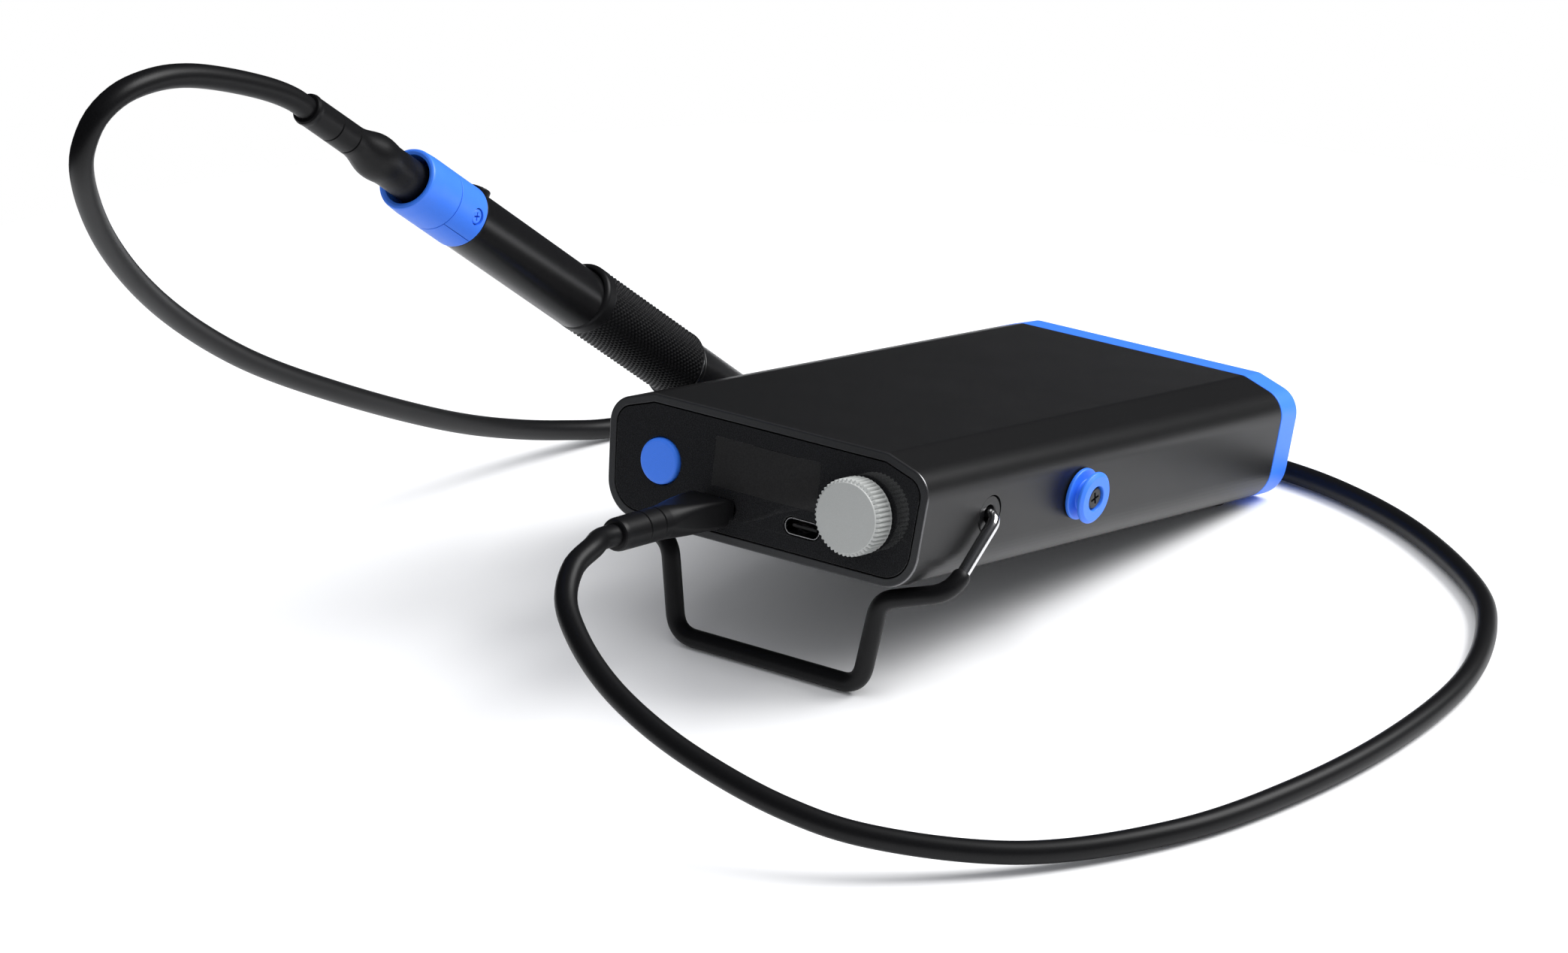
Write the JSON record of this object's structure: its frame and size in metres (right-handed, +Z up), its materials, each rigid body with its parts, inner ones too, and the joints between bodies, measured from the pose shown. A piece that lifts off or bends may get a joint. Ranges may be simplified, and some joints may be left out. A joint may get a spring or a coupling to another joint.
{
  "type": "soldering iron station",
  "caption": "Portable battery soldering station on a folding wire stand, with its iron hung in a side cap and joined to it by a cable",
  "frame": {"origin": "middle of the bounding box of the station and iron, without the cable and its plugs, on the surface the station stands on", "axes": "+X towards the station's right side as its user faces the front panel, +Y from the front panel to the rear, +Z up"},
  "size_m": [0.2651, 0.3218, 0.1659],
  "materials": {
    "black_anodised": "fine satin anodising",
    "blue_plastic": "satin moulded",
    "gloss_black": "high gloss",
    "dark_window": "high gloss",
    "black_plastic": "fine matte grain",
    "grey_plastic": "satin",
    "black_rubber": "matte",
    "bright_steel": "polished",
    "black_steel": "black oxide",
    "tip_plating": "satin plating",
    "circuit_board": "solder mask",
    "cell_wrap": "shrink film",
    "nickel": "plain strip",
    "copper": "enamelled winding"
  },
  "bodies": {
    "station": {"housing_sleeve": "black_anodised", "rear_cap": "blue_plastic", "front_panel": "gloss_black", "display_window": "dark_window", "rear_cap_screw_left": "black_steel", "rear_cap_screw_right": "black_steel", "foot_front_left": "black_rubber", "foot_front_right": "black_rubber", "foot_rear_left": "black_rubber", "foot_rear_right": "black_rubber", "power_switch": "black_plastic", "encoder_body": "black_plastic", "display_module": "gloss_black", "front_board": "circuit_board", "port_left": "bright_steel", "port_right": "bright_steel", "main_board": "circuit_board", "power_inductor": "copper", "control_chip": "black_plastic", "battery_tray": "black_plastic", "battery_cell_1": "cell_wrap", "battery_cell_2": "cell_wrap", "battery_cell_3": "cell_wrap", "contact_strip_front": "nickel", "contact_strip_rear": "nickel", "battery_board": "circuit_board", "stand_bush_left": "black_plastic", "stand_bush_right": "black_plastic", "stud_left": "blue_plastic", "stud_right": "blue_plastic", "stud_screw_left": "black_steel", "stud_screw_right": "black_steel", "holder_cap": "black_plastic", "holder_liner": "bright_steel", "plug_station": "black_rubber", "cable_station_side": "black_rubber"},
    "stand": {"stand_wire": "bright_steel", "stand_sleeve": "black_rubber"},
    "power_button": {"power_button": "blue_plastic"},
    "encoder_plunger": {"encoder_plunger": "black_plastic"},
    "knob": {"knob": "grey_plastic", "encoder_shaft": "bright_steel"},
    "iron": {"tip": "tip_plating", "nose": "black_plastic", "nose_ring": "bright_steel", "tip_socket": "nickel", "grip_sleeve": "black_rubber", "barrel": "black_plastic", "collar_upper": "blue_plastic", "collar_lower": "blue_plastic", "collar_screw_left": "blue_plastic", "collar_screw_right": "blue_plastic", "iron_board": "circuit_board", "iron_port_holder": "black_plastic", "iron_port": "bright_steel", "plug_iron": "black_rubber", "cable_iron_side": "black_rubber"},
    "iron_button": {"iron_button": "black_rubber"},
    "lock_ring": {"lock_ring": "blue_plastic"}
  },
  "joints": [
    {"name": "stand_fold", "type": "hinge", "parent": "station", "child": "stand", "pos_m": [0.00828, -0.02606, 0.03984], "axis": [1, 0, 0], "range_deg": [0, 88]},
    {"name": "power_press", "type": "slide", "parent": "station", "child": "power_button", "axis": [0, 0.9831, -0.1829], "range_m": [0, 0.0006], "stiffness_N_per_m": 400},
    {"name": "knob_press", "type": "slide", "parent": "station", "child": "encoder_plunger", "axis": [0, 0.9831, -0.1829], "range_m": [0, 0.0005], "stiffness_N_per_m": 800, "springref_m": -0.0001},
    {"name": "knob_turn", "type": "hinge", "parent": "encoder_plunger", "child": "knob", "pos_m": [0.03568, -0.0526, 0.04478], "axis": [0, 0.9831, -0.1829], "continuous": true},
    {"name": "iron_draw", "type": "slide", "parent": "station", "child": "iron", "axis": [0, -0.7955, 0.6059], "range_m": [0, 0.06]},
    {"name": "iron_button_press", "type": "slide", "parent": "iron", "child": "iron_button", "axis": [0, -0.6059, -0.7955], "range_m": [0, 0.0005], "stiffness_N_per_m": 400},
    {"name": "lock_ring_turn", "type": "hinge", "parent": "iron", "child": "lock_ring", "pos_m": [-0.04922, -0.09974, 0.11719], "axis": [0, -0.7955, 0.6059], "range_deg": [0, 60]}
  ]
}
